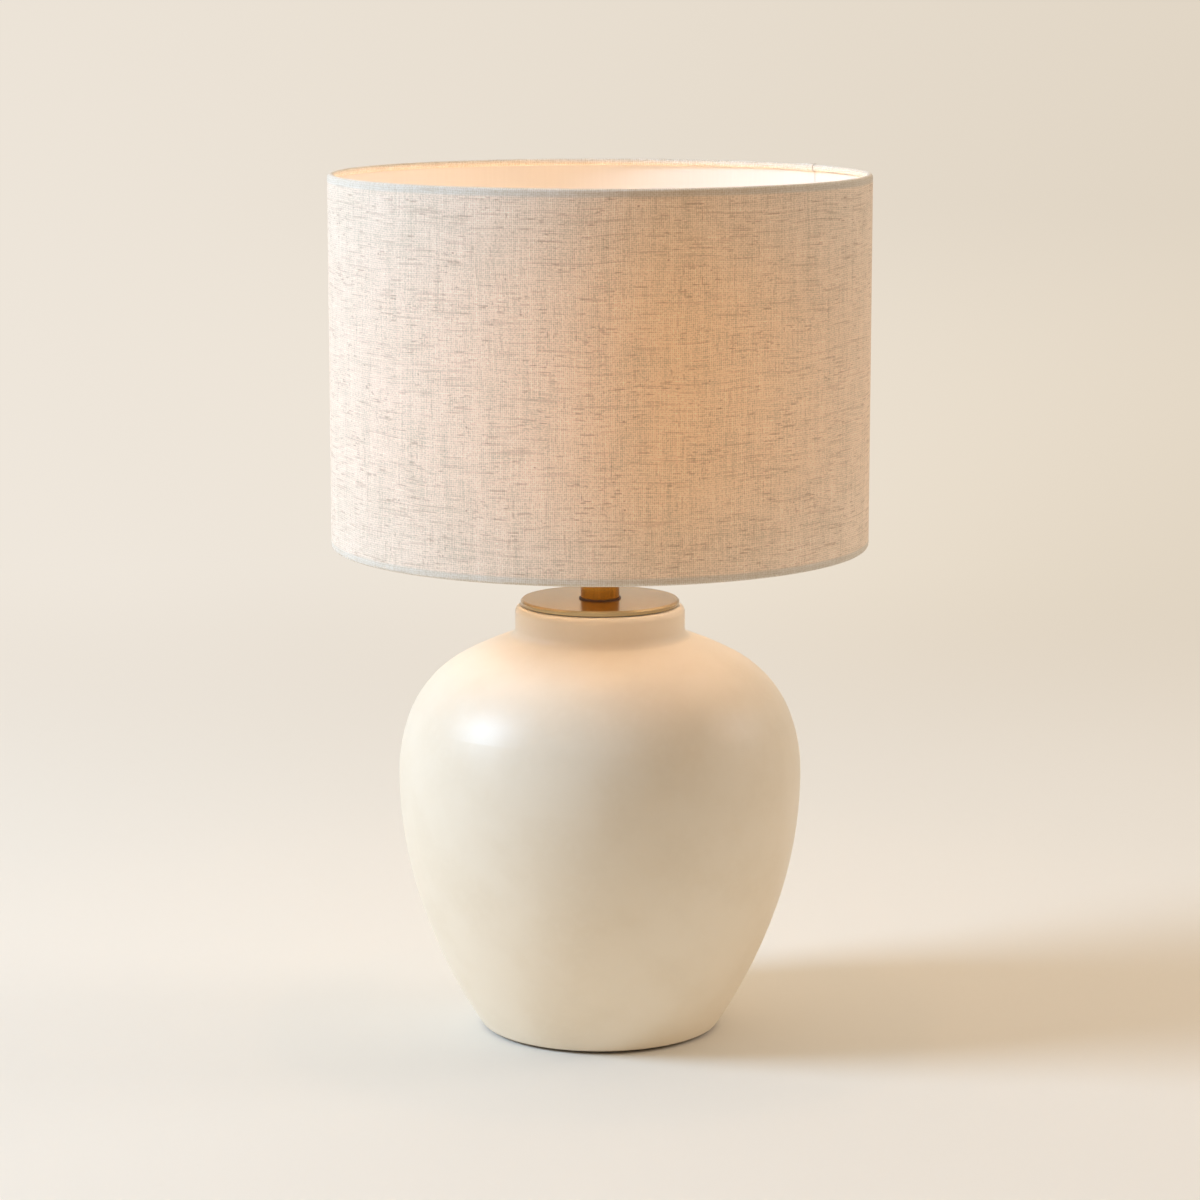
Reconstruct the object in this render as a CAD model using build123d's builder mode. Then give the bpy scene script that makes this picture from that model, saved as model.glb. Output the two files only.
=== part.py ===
from build123d import *
from math import asin, cos, degrees, radians, sin
import os

# Ginger jar table lamp, in millimetres. Z is up and the lamp stands on z = 0, with its axis on Z.
# The front is -Y and the rear, where the cord would enter, is +Y.

# ---- Driving sizes: the ceramic jar ----
pad_thickness = 1.5
pad_radius = 73.0
foot_radius = 77.8
foot_rounding = 4.3
belly_radius = 132.2
belly_rise = 170.8
lower_belly_arc = 280.6
lower_belly_turn = 18.7
upper_belly_arc = 105.5
upper_belly_turn = 20.8
shoulder_arc = 72.0
shoulder_turn = 40.8
shoulder_rise = 90.7
neck_radius = 55.6
neck_rise = 19.6
neck_root_rounding = 6.0
lip_rounding = 4.5
mouth_rounding = 1.0
jar_wall = 6.0
neck_wall = 9.0
foot_recess = 24.0
foot_ring_width = 12.0
floor_thickness = 7.0

# ---- Driving sizes: the cord inlet in the foot ring ----
inlet_rise = 9.5
inlet_bore_radius = 3.5
grommet_radius = 5.2
grommet_flange_radius = 7.0
grommet_flange_thickness = 2.0
grommet_barb = 0.9
grommet_barb_length = 2.0
pocket_inset = 1.4

# ---- Driving sizes: the threaded rod, its nuts and washers ----
rod_radius = 5.0
rod_bore_radius = 3.8
rod_tail = 3.0
nut_across_flats = 17.0
nut_thickness = 4.5
rubber_washer_radius = 26.0
rubber_washer_thickness = 2.5
steel_washer_radius = 22.0
steel_washer_thickness = 2.0
spring_washer_radius = 9.0
spring_washer_thickness = 1.6
spring_washer_gap = 2.0
spring_washer_skew = 20.0

# ---- Driving sizes: the brass cap and stem ----
gasket_thickness = 0.6
gasket_radius = 50.2
cap_radius = 52.0
cap_thickness = 3.3
cap_bevel = 1.2
locator_depth = 8.0
locator_sheet = 1.2
seat_ring_radius = 13.7
seat_ring_thickness = 0.9
spigot_height = 3.0
stem_radius = 12.7
stem_wall = 1.2
stem_length = 33.0
top_ring_overhang = 0.6
top_ring_thickness = 2.0

# ---- Driving sizes: the lampholder and its push-through switch ----
boss_radius = 8.5
boss_height = 6.0
holder_radius = 19.75
holder_wall = 2.0
holder_shoulder_rise = 5.0
holder_base_height = 26.0
holder_spigot_height = 5.0
holder_floor = 2.5
ledge_width = 2.3
insert_height = 13.0
grub_screw_radius = 1.5
grub_screw_rise = 3.0
switch_rise = 12.5
switch_bar_radius = 2.2
switch_travel = 6.0
switch_tip_radius = 3.4
switch_tip_length = 3.0
switch_tip_rounding = 1.0
switch_block_length = 15.0
switch_block_width = 9.0
switch_block_height = 7.6
terminal_offset = 9.0
terminal_head_radius = 3.0
terminal_head_height = 2.2
terminal_shank_radius = 1.6
terminal_shank_length = 8.0
screw_shell_radius = 13.6
screw_shell_sheet = 0.4
screw_shell_height = 23.0
shell_flange_width = 3.0
skirt_lip = 2.0
seat_flange_radius = 26.0
seat_flange_rise = 2.0
seat_flange_thickness = 3.0
centre_tongue_length = 13.0
centre_tongue_width = 5.0
centre_tongue_sheet = 0.5
centre_tongue_lift = 3.0

# ---- Driving sizes: the shade and the ring that clamps it ----
shade_radius = 175.0
shade_height = 241.0
fabric_thickness = 0.6
liner_thickness = 0.4
hem_roll = 300.0
wire_radius = 1.6
fitter_radius = 27.0
fitter_thickness = 2.5
fitter_recess = 30.4
arm_count = 3
arm_drop_inset = 22.0
arm_end_run = 8.0
arm_bend_radius = 9.0
clamp_ring_radius = 26.0
clamp_ring_height = 8.0
clamp_flange_height = 2.5
clamp_collar_radius = 24.0
grip_count = 12
grip_radius = 1.5

# ---- Driving sizes: the bulb ----
bulb_length = 108.0
globe_radius = 30.0
globe_wall = 1.2
globe_split_drop = 12.0
bulb_neck_radius = 14.0
bulb_cap_radius = 13.1
bulb_cap_sheet = 0.5
bulb_cap_height = 20.0
contact_radius = 5.0
contact_height = 1.5
insulator_height = 4.5
led_board_radius = 22.0
led_board_thickness = 1.6
led_count = 12
led_size = 3.0
led_height = 0.8
led_circle_radius = 15.0

# ---- Named clearances ----
rod_clearance = 0.2
slip_clearance = 0.1
locator_clearance = 0.4
grommet_clearance = 0.1
pocket_clearance = 0.5
running_clearance = 0.3
fitter_clearance = 1.25
switch_stop_gap = 0.5

# ---- Heights worked out from the sizes above, from the table up ----
foot_height = pad_thickness
recess_height = foot_height + foot_recess
floor_height = recess_height + floor_thickness
belly_height = foot_height + belly_rise
neck_root_height = belly_height + shoulder_rise
lip_height = neck_root_height + neck_rise
cap_height = lip_height + gasket_thickness
cap_top = cap_height + cap_thickness
stem_height = cap_top + seat_ring_thickness
stem_top = stem_height + stem_length
holder_height = stem_top + top_ring_thickness
switch_height = holder_height + switch_rise
holder_seam = holder_height + holder_base_height
insert_top = holder_seam + holder_spigot_height
insert_bottom = insert_top - insert_height
flange_height = holder_seam + seat_flange_rise
fitter_height = flange_height + seat_flange_thickness
fitter_top = fitter_height + fitter_thickness
shell_top = insert_top + screw_shell_height
holder_top = shell_top + skirt_lip
shade_bottom = fitter_height - fitter_recess
shade_top = shade_bottom + shade_height
bulb_bottom = insert_top + centre_tongue_lift + running_clearance
globe_height = bulb_bottom + bulb_length - globe_radius
bulb_split = globe_height - globe_split_drop
bulb_cap_bottom = bulb_bottom + contact_height + insulator_height
bulb_cap_top = bulb_cap_bottom + bulb_cap_height

# ---- Radii worked out from the sizes above ----
rod_hole_radius = rod_radius + rod_clearance
mouth_radius = neck_radius - neck_wall
recess_radius = foot_radius - foot_ring_width
stem_bore_radius = stem_radius - stem_wall
spigot_radius = stem_bore_radius - slip_clearance
cavity_radius = holder_radius - 2 * holder_wall - slip_clearance
lower_cavity_radius = cavity_radius - ledge_width
hem_bore_radius = wire_radius + slip_clearance
hem_radius = hem_bore_radius + fabric_thickness
wire_circle_radius = shade_radius - hem_radius
fitter_bore_radius = holder_radius + fitter_clearance
clamp_bore_radius = holder_radius + running_clearance


def save(piece, name):
    """Label a finished piece and write it to its own file."""
    piece.part.label = name
    export_step(piece.part, f"parts/{name}.step")


def flat_ring(bottom, outer_radius, bore_radius, thickness):
    """Make a plain flat ring around the lamp's axis."""
    with BuildPart() as ring:
        with BuildSketch(Plane.XY.offset(bottom)):
            Circle(outer_radius)
            Circle(bore_radius, mode=Mode.SUBTRACT)
        extrude(amount=thickness)
    return ring


def hex_nut(bottom):
    """Make one thin hexagonal nut for the rod."""
    with BuildPart() as nut:
        with BuildSketch(Plane.XY.offset(bottom)):
            RegularPolygon(nut_across_flats / 2, 6, major_radius=False)
            Circle(rod_hole_radius, mode=Mode.SUBTRACT)
        extrude(amount=nut_thickness)
    return nut


def ring_on_spigot(bottom, ring_radius, ring_thickness, bore_radius, spigot_up):
    """Make a ring with a spigot that centres the stem, standing up or hanging down."""
    with BuildPart() as ring:
        with BuildSketch(Plane.XY.offset(bottom)):
            Circle(ring_radius)
            Circle(bore_radius, mode=Mode.SUBTRACT)
        extrude(amount=ring_thickness)
        spigot_bottom = bottom + ring_thickness if spigot_up else bottom - spigot_height
        with BuildSketch(Plane.XY.offset(spigot_bottom)):
            Circle(spigot_radius)
            Circle(bore_radius, mode=Mode.SUBTRACT)
        extrude(amount=spigot_height)
    return ring


def jar_side(inset, top_radius):
    """Draw the jar's side as tangent arcs from the foot to the neck, inside the glaze by the inset."""
    widest = (belly_radius - inset, belly_height)
    lower = JernArc(widest, (0, -1), lower_belly_arc - inset, -lower_belly_turn)
    TangentArc(lower @ 1, (foot_radius - inset, foot_height + inset), tangent=lower % 1)
    upper = JernArc(widest, (0, 1), upper_belly_arc - inset, upper_belly_turn)
    shoulder = JernArc(upper @ 1, upper % 1, shoulder_arc - inset, shoulder_turn)
    TangentArc(shoulder @ 1, (top_radius, neck_root_height - inset), tangent=shoulder % 1)


switch_plane = Plane(origin=(0, 0, switch_height), x_dir=(0, 1, 0), z_dir=(1, 0, 0))
grub_plane = Plane(origin=(0, 0, holder_height + grub_screw_rise), x_dir=(1, 0, 0), z_dir=(0, -1, 0))

os.makedirs("parts", exist_ok=True)

# ---- Jar: a cast ceramic shell with a raised floor, a foot ring and a short neck ----
with BuildSketch(Plane.XZ) as jar_hollow:
    with BuildLine():
        jar_side(jar_wall, mouth_radius)
        Polyline(
            (foot_radius - jar_wall, foot_height + jar_wall),
            (0, foot_height + jar_wall),
            (0, lip_height),
            (mouth_radius, lip_height),
            (mouth_radius, neck_root_height - jar_wall),
        )
    make_face()
    with Locations((0, floor_height)):
        Rectangle(2 * belly_radius, belly_height, align=(Align.CENTER, Align.MAX), mode=Mode.SUBTRACT)

# The cord runs in level through the foot ring, from a flat pocket in the leaning wall.
inlet_height = foot_height + inlet_rise
pocket_radius = foot_radius + pocket_inset
barb_radius = recess_radius - running_clearance - grommet_barb_length
inlet_inside = Plane(origin=(0, 0, inlet_height), x_dir=(-1, 0, 0), z_dir=(0, 1, 0))
pocket_floor = inlet_inside.offset(pocket_radius)
barb_start = inlet_inside.offset(barb_radius)

with BuildPart() as jar_body:
    with BuildSketch(Plane.XZ) as jar_section:
        with BuildLine():
            jar_side(0, neck_radius)
            Polyline(
                (foot_radius, foot_height),
                (0, foot_height),
                (0, lip_height),
                (neck_radius, lip_height),
                (neck_radius, neck_root_height),
            )
        make_face()
        for corner, rounding in (
            ((foot_radius, foot_height), foot_rounding),
            ((neck_radius, neck_root_height), neck_root_rounding),
            ((neck_radius, lip_height), lip_rounding),
        ):
            fillet(jar_section.vertices().sort_by_distance(corner)[0], rounding)
        add(jar_hollow.sketch_local, mode=Mode.SUBTRACT)
        fillet(jar_section.vertices().sort_by_distance((mouth_radius, lip_height))[0], mouth_rounding)
        with Locations((0, foot_height)):
            Rectangle(recess_radius, foot_recess, align=(Align.MIN, Align.MIN), mode=Mode.SUBTRACT)
            Rectangle(rod_hole_radius, belly_height, align=(Align.MIN, Align.MIN), mode=Mode.SUBTRACT)
    revolve(axis=Axis.Z)
    with BuildSketch(inlet_inside):
        Circle(grommet_radius + grommet_clearance)
    extrude(amount=belly_radius, mode=Mode.SUBTRACT)
    with BuildSketch(pocket_floor):
        Circle(grommet_flange_radius + pocket_clearance)
    extrude(amount=belly_radius, mode=Mode.SUBTRACT)
save(jar_body, "jar_body")

with BuildPart() as cord_grommet:
    with BuildSketch(pocket_floor):
        Circle(grommet_flange_radius)
    extrude(amount=grommet_flange_thickness)
    with BuildSketch(barb_start):
        Circle(grommet_radius + grommet_barb)
    extrude(amount=grommet_barb_length)
    with BuildSketch(barb_start):
        Circle(grommet_radius)
    extrude(amount=pocket_radius - barb_radius)
    with BuildSketch(inlet_inside):
        Circle(inlet_bore_radius)
    extrude(amount=belly_radius, mode=Mode.SUBTRACT)
save(cord_grommet, "cord_grommet")

# ---- Foot: a felt pad under the foot ring, and the fixings in its recess ----
with BuildPart() as base_pad:
    with BuildSketch(Plane.XY):
        Circle(pad_radius)
    extrude(amount=pad_thickness)
save(base_pad, "base_pad")

rubber_washer_bottom = recess_height - rubber_washer_thickness
rubber_washer = flat_ring(
    rubber_washer_bottom, rubber_washer_radius, rod_hole_radius, rubber_washer_thickness
)
save(rubber_washer, "rubber_washer")

steel_washer_bottom = rubber_washer_bottom - steel_washer_thickness
steel_washer = flat_ring(
    steel_washer_bottom, steel_washer_radius, rod_hole_radius, steel_washer_thickness
)
save(steel_washer, "steel_washer")

# The spring washer is split, and its gap faces the front.
spring_washer_bottom = steel_washer_bottom - spring_washer_thickness
with BuildPart() as spring_washer:
    with BuildSketch(Plane.XY.offset(spring_washer_bottom)):
        Circle(spring_washer_radius)
        Circle(rod_hole_radius, mode=Mode.SUBTRACT)
        Rectangle(
            spring_washer_gap,
            spring_washer_radius,
            rotation=spring_washer_skew,
            align=(Align.CENTER, Align.MAX),
            mode=Mode.SUBTRACT,
        )
    extrude(amount=spring_washer_thickness)
save(spring_washer, "spring_washer")

foot_nut_bottom = spring_washer_bottom - nut_thickness
foot_nut = hex_nut(foot_nut_bottom)
save(foot_nut, "foot_nut")

# ---- Rod: a hollow threaded rod that pulls the whole lamp together and carries the cord ----
rod_bottom = foot_nut_bottom - rod_tail
rod_top = holder_height + boss_height + holder_floor
threaded_rod = flat_ring(rod_bottom, rod_radius, rod_bore_radius, rod_top - rod_bottom)
save(threaded_rod, "threaded_rod")

# ---- Cap: a brass disc on the jar's lip, held and centred from inside the mouth ----
cap_gasket = flat_ring(
    lip_height, gasket_radius, mouth_radius + mouth_rounding, gasket_thickness
)
save(cap_gasket, "cap_gasket")

with BuildPart() as cap_disc:
    with BuildSketch(Plane.XY.offset(cap_height)):
        Circle(cap_radius)
        Circle(rod_hole_radius, mode=Mode.SUBTRACT)
    extrude(amount=cap_thickness)
    chamfer(cap_disc.edges().group_by(Axis.Z)[-1].sort_by(SortBy.RADIUS)[-1], cap_bevel)
save(cap_disc, "cap_disc")

locator_radius = mouth_radius - locator_clearance
with BuildPart() as cap_locator:
    with BuildSketch(Plane.XY.offset(cap_height - locator_depth)):
        Circle(locator_radius)
        Circle(locator_radius - locator_sheet, mode=Mode.SUBTRACT)
    extrude(amount=locator_depth)
    with BuildSketch(Plane.XY.offset(cap_height - locator_sheet)):
        Circle(locator_radius)
        Circle(rod_hole_radius, mode=Mode.SUBTRACT)
    extrude(amount=locator_sheet)
    fillet(cap_locator.edges().group_by(Axis.Z)[-1].sort_by(SortBy.RADIUS)[-1], locator_sheet / 2)
save(cap_locator, "cap_locator")

# Two like nuts hold the cap, one under the locator and one inside the stem.
with BuildPart() as cap_nuts:
    add(hex_nut(cap_height - locator_sheet - nut_thickness).part)
    add(hex_nut(cap_top).part)
save(cap_nuts, "cap_nuts")

# ---- Stem: a brass tube between a dark seat ring and a brass top ring ----
seat_ring_bore = nut_across_flats / 2 / cos(radians(30)) + running_clearance
stem_seat_ring = ring_on_spigot(
    cap_top, seat_ring_radius, seat_ring_thickness, seat_ring_bore, spigot_up=True
)
save(stem_seat_ring, "stem_seat_ring")

stem_tube = flat_ring(stem_height, stem_radius, stem_bore_radius, stem_length)
save(stem_tube, "stem_tube")

stem_top_ring = ring_on_spigot(
    stem_top, stem_radius + top_ring_overhang, top_ring_thickness, rod_hole_radius, spigot_up=False
)
save(stem_top_ring, "stem_top_ring")

# ---- Lampholder: a moulded cap and skirt around the insert that carries the contacts ----
shoulder_height = holder_height + boss_height
body_height = shoulder_height + holder_shoulder_rise
with BuildPart() as holder_cap:
    with BuildSketch(Plane.XZ) as holder_cap_section:
        with BuildLine():
            Polyline(
                (rod_hole_radius, holder_height),
                (boss_radius, holder_height),
                (boss_radius, shoulder_height),
            )
            EllipticalCenterArc(
                (boss_radius, body_height),
                holder_radius - boss_radius,
                holder_shoulder_rise,
                start_angle=270,
                arc_size=90,
            )
            Polyline(
                (holder_radius, body_height),
                (holder_radius, holder_seam),
                (cavity_radius + holder_wall, holder_seam),
                (cavity_radius + holder_wall, insert_top),
                (cavity_radius, insert_top),
                (cavity_radius, insert_bottom),
                (lower_cavity_radius, insert_bottom),
                (lower_cavity_radius, body_height),
                (boss_radius, shoulder_height + holder_floor),
                (rod_hole_radius, shoulder_height + holder_floor),
                (rod_hole_radius, holder_height),
            )
        make_face()
    revolve(axis=Axis.Z)
    with BuildSketch(switch_plane):
        Circle(switch_bar_radius + running_clearance)
    extrude(amount=holder_radius, both=True, mode=Mode.SUBTRACT)
    with BuildSketch(grub_plane):
        Circle(grub_screw_radius)
    extrude(amount=boss_radius, mode=Mode.SUBTRACT)
save(holder_cap, "holder_cap")

with BuildPart() as grub_screw:
    with BuildSketch(grub_plane.offset(rod_radius)):
        Circle(grub_screw_radius - slip_clearance)
    extrude(amount=boss_radius - rod_radius)
save(grub_screw, "grub_screw")

with BuildPart() as holder_insert:
    with BuildSketch(Plane.XY.offset(insert_bottom)):
        Circle(cavity_radius - slip_clearance)
        with Locations((0, terminal_offset), (0, -terminal_offset)):
            Circle(terminal_shank_radius, mode=Mode.SUBTRACT)
    extrude(amount=insert_height)
save(holder_insert, "holder_insert")

with BuildPart() as terminal_screws:
    with BuildSketch(Plane.XY.offset(insert_bottom)):
        with Locations((0, terminal_offset), (0, -terminal_offset)):
            Circle(terminal_head_radius)
    extrude(amount=-terminal_head_height)
    with BuildSketch(Plane.XY.offset(insert_bottom)):
        with Locations((0, terminal_offset), (0, -terminal_offset)):
            Circle(terminal_shank_radius)
    extrude(amount=terminal_shank_length)
save(terminal_screws, "terminal_screws")

# The block under the insert guides the bar and works the contacts.
with BuildPart() as switch_block:
    with BuildSketch(Plane.XY.offset(insert_bottom)):
        Rectangle(switch_block_length, switch_block_width)
    extrude(amount=-switch_block_height)
    with BuildSketch(switch_plane):
        Circle(switch_bar_radius + running_clearance)
    extrude(amount=switch_block_length, both=True, mode=Mode.SUBTRACT)
save(switch_block, "switch_block")

# At rest the bar is pushed fully to +X, and it slides to -X by its travel.
near_tip_face = holder_radius + switch_stop_gap
far_tip_face = near_tip_face + switch_travel
with BuildPart() as switch_bar:
    with BuildSketch(switch_plane.offset(-near_tip_face)):
        Circle(switch_bar_radius)
    extrude(amount=near_tip_face + far_tip_face)
save(switch_bar, "switch_bar")

with BuildPart() as switch_tips:
    with BuildSketch(switch_plane.offset(far_tip_face)):
        Circle(switch_tip_radius)
    extrude(amount=switch_tip_length)
    with BuildSketch(switch_plane.offset(-near_tip_face)):
        Circle(switch_tip_radius)
    extrude(amount=-switch_tip_length)
    outer_rims = switch_tips.edges().filter_by(GeomType.CIRCLE).sort_by(Axis.X)
    fillet([outer_rims[0], outer_rims[-1]], switch_tip_rounding)
save(switch_tips, "switch_tips")

with BuildPart() as screw_shell:
    with BuildSketch(Plane.XY.offset(insert_top)):
        Circle(screw_shell_radius + screw_shell_sheet)
        Circle(screw_shell_radius, mode=Mode.SUBTRACT)
    extrude(amount=screw_shell_height)
    with BuildSketch(Plane.XY.offset(insert_top)):
        Circle(screw_shell_radius)
        Circle(screw_shell_radius - shell_flange_width, mode=Mode.SUBTRACT)
    extrude(amount=screw_shell_sheet)
save(screw_shell, "screw_shell")

# The centre contact is a strip that lies on the insert and springs up to the middle.
tongue_end = centre_tongue_length / 2
with BuildPart() as centre_contact:
    with BuildSketch(Plane.XZ) as tongue_section:
        with BuildLine():
            Polyline(
                (-tongue_end, insert_top),
                (-tongue_end / 2, insert_top),
                (0, insert_top + centre_tongue_lift - centre_tongue_sheet),
                (contact_radius / 2, insert_top + centre_tongue_lift - centre_tongue_sheet),
                (contact_radius / 2, insert_top + centre_tongue_lift),
                (-centre_tongue_sheet, insert_top + centre_tongue_lift),
                (-tongue_end / 2 - centre_tongue_sheet, insert_top + centre_tongue_sheet),
                (-tongue_end, insert_top + centre_tongue_sheet),
                (-tongue_end, insert_top),
            )
        make_face()
    extrude(amount=centre_tongue_width / 2, both=True)
save(centre_contact, "centre_contact")

# The skirt screws over the cap's spigot; its flange seats the shade and its lip rings the shell.
skirt_bore_radius = holder_radius - holder_wall
with BuildPart() as holder_skirt:
    with BuildSketch(Plane.XZ) as holder_skirt_section:
        with BuildLine():
            Polyline(
                (skirt_bore_radius, holder_seam),
                (holder_radius, holder_seam),
                (holder_radius, flange_height),
                (seat_flange_radius, flange_height),
                (seat_flange_radius, fitter_height),
                (holder_radius, fitter_height),
                (holder_radius, holder_top),
                (screw_shell_radius, holder_top),
                (screw_shell_radius, shell_top),
                (skirt_bore_radius, shell_top),
                (skirt_bore_radius, holder_seam),
            )
        make_face()
        outer_lip = holder_skirt_section.vertices().sort_by_distance((holder_radius, holder_top))[0]
        fillet(outer_lip, skirt_lip / 2)
    revolve(axis=Axis.Z)
save(holder_skirt, "holder_skirt")

# ---- Shade: linen and its liner on two wire rings, carried by a recessed spider ----
wall_bottom = shade_bottom + hem_radius
wall_top = shade_top - hem_radius
fitter_middle = fitter_height + fitter_thickness / 2
drop_radius = wire_circle_radius - arm_drop_inset
arm_tip_radius = wire_circle_radius - wire_radius
with BuildPart() as spider_arms:
    with BuildLine(Plane.XZ):
        arm_path = FilletPolyline(
            (fitter_radius, fitter_middle),
            (drop_radius, fitter_middle),
            (arm_tip_radius - arm_end_run, wall_bottom),
            (arm_tip_radius, wall_bottom),
            radius=arm_bend_radius,
        )
    with BuildSketch(Plane(origin=(fitter_radius, 0, fitter_middle), z_dir=(1, 0, 0))):
        Circle(wire_radius)
    sweep()
    first_arm = spider_arms.part
    with PolarLocations(0, arm_count):
        add(first_arm)
save(spider_arms, "spider_arms")

fitter_ring = flat_ring(fitter_height, fitter_radius, fitter_bore_radius, fitter_thickness)
save(fitter_ring, "fitter_ring")

for ring_name, ring_height in (("bottom_wire_ring", wall_bottom), ("top_wire_ring", wall_top)):
    with BuildPart() as wire_ring:
        with BuildSketch(Plane.XZ):
            with Locations((wire_circle_radius, ring_height)):
                Circle(wire_radius)
        revolve(axis=Axis.Z)
    save(wire_ring, ring_name)

# The linen's edges are rolled over the wire rings, and the lower hem is notched at each arm.
with BuildPart() as shade_fabric:
    with BuildSketch(Plane.XZ):
        with BuildLine():
            outside = Line((shade_radius, wall_bottom), (shade_radius, wall_top))
            upper_roll = CenterArc((wire_circle_radius, wall_top), hem_radius, 0, hem_roll)
            upper_tuck = CenterArc((wire_circle_radius, wall_top), hem_bore_radius, 0, hem_roll)
            inside = Line(upper_tuck @ 0, (shade_radius - fabric_thickness, wall_bottom))
            lower_roll = CenterArc((wire_circle_radius, wall_bottom), hem_radius, 0, -hem_roll)
            lower_tuck = CenterArc(
                (wire_circle_radius, wall_bottom), hem_bore_radius, 0, -hem_roll
            )
            Line(upper_roll @ 1, upper_tuck @ 1)
            Line(lower_roll @ 1, lower_tuck @ 1)
        make_face()
    revolve(axis=Axis.Z)
    with Locations((0, 0, wall_bottom)):
        with PolarLocations(wire_circle_radius, arm_count):
            Cylinder(
                wire_radius + running_clearance,
                2 * hem_radius,
                rotation=(0, -90, 0),
                align=(Align.CENTER, Align.CENTER, Align.MIN),
                mode=Mode.SUBTRACT,
            )
save(shade_fabric, "shade_fabric")

# The liner lines the linen's wall from hem to hem.
liner_radius = shade_radius - fabric_thickness
liner_bottom = wall_bottom + hem_radius
shade_liner = flat_ring(
    liner_bottom, liner_radius, liner_radius - liner_thickness, wall_top - hem_radius - liner_bottom
)
save(shade_liner, "shade_liner")

# The ring that clamps the shade has a flange, and a collar with ribs to grip.
clamp_flange_top = fitter_top + clamp_flange_height
with BuildPart() as shade_clamp_ring:
    with BuildSketch(Plane.XY.offset(fitter_top)):
        Circle(clamp_ring_radius)
    extrude(amount=clamp_flange_height)
    with BuildSketch(Plane.XY.offset(clamp_flange_top)):
        Circle(clamp_collar_radius)
        with PolarLocations(clamp_collar_radius, grip_count):
            Circle(grip_radius)
    extrude(amount=clamp_ring_height - clamp_flange_height)
    with BuildSketch(Plane.XY.offset(fitter_top)):
        Circle(clamp_bore_radius)
    extrude(amount=clamp_ring_height, mode=Mode.SUBTRACT)
save(shade_clamp_ring, "shade_clamp_ring")

# ---- Bulb: an opal dome on a tapered housing, with a screw cap, insulator and end contact ----
split_angle = degrees(asin(globe_split_drop / globe_radius))
globe_bore_radius = globe_radius - globe_wall
bore_split_angle = degrees(asin(globe_split_drop / globe_bore_radius))
with BuildPart() as bulb_dome:
    with BuildSketch(Plane.XZ):
        with BuildLine():
            dome = CenterArc((0, globe_height), globe_radius, -split_angle, 90 + split_angle)
            bore = CenterArc(
                (0, globe_height), globe_bore_radius, -bore_split_angle, 90 + bore_split_angle
            )
            Line(dome @ 0, bore @ 0)
            Line(dome @ 1, bore @ 1)
        make_face()
    revolve(axis=Axis.Z)
save(bulb_dome, "bulb_dome")

bulb_spigot_radius = bulb_cap_radius - bulb_cap_sheet
with BuildPart() as bulb_housing:
    with BuildSketch(Plane.XZ):
        with BuildLine():
            housing_rim = (globe_radius * cos(radians(split_angle)), bulb_split)
            taper = TangentArc(
                housing_rim,
                (bulb_neck_radius, bulb_cap_top),
                tangent=(-sin(radians(split_angle)), -cos(radians(split_angle))),
            )
            Polyline(
                taper @ 1,
                (bulb_spigot_radius, bulb_cap_top),
                (bulb_spigot_radius, bulb_cap_bottom),
                (0, bulb_cap_bottom),
                (0, bulb_split),
                housing_rim,
            )
        make_face()
    revolve(axis=Axis.Z)
save(bulb_housing, "bulb_housing")

bulb_screw_cap = flat_ring(bulb_cap_bottom, bulb_cap_radius, bulb_spigot_radius, bulb_cap_height)
save(bulb_screw_cap, "bulb_screw_cap")

with BuildPart() as bulb_insulator:
    with BuildSketch(Plane.XZ):
        with BuildLine():
            Polyline(
                (0, bulb_bottom + contact_height),
                (contact_radius + slip_clearance, bulb_bottom + contact_height),
                (bulb_spigot_radius, bulb_cap_bottom),
                (0, bulb_cap_bottom),
                close=True,
            )
        make_face()
    revolve(axis=Axis.Z)
save(bulb_insulator, "bulb_insulator")

with BuildPart() as bulb_end_contact:
    with BuildSketch(Plane.XY.offset(bulb_bottom)):
        Circle(contact_radius)
    extrude(amount=contact_height)
    fillet(bulb_end_contact.edges().group_by(Axis.Z)[0], contact_height / 2)
save(bulb_end_contact, "bulb_end_contact")

with BuildPart() as led_board:
    with BuildSketch(Plane.XY.offset(bulb_split)):
        Circle(led_board_radius)
    extrude(amount=led_board_thickness)
save(led_board, "led_board")

with BuildPart() as leds:
    with BuildSketch(Plane.XY.offset(bulb_split + led_board_thickness)):
        with PolarLocations(led_circle_radius, led_count):
            Rectangle(led_size, led_size)
    extrude(amount=led_height)
save(leds, "leds")
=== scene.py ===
import bpy
import math
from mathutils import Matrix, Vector, noise


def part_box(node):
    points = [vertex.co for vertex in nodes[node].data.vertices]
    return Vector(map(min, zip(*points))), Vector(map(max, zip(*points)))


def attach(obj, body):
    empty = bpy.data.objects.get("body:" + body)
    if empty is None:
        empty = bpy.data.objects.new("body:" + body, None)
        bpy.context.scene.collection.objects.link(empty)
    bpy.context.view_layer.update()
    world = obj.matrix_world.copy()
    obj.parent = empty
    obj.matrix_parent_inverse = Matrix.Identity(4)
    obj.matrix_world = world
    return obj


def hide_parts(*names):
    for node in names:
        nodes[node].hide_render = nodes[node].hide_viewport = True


# Looks of the ginger jar table lamp, in metres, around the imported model.
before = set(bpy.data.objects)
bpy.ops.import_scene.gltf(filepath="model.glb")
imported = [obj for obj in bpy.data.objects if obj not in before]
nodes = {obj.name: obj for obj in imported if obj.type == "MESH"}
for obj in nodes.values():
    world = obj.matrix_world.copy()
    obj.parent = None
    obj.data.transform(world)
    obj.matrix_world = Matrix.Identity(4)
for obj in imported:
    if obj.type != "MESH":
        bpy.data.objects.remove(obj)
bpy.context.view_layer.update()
MM = 0.001

# ---- The photograph's view ----
CAMERA_PLACE = (0, -2.4114, 0.6994)
CAMERA_PITCH = math.radians(80.255)
CAMERA_LENS = 112.04

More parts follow.
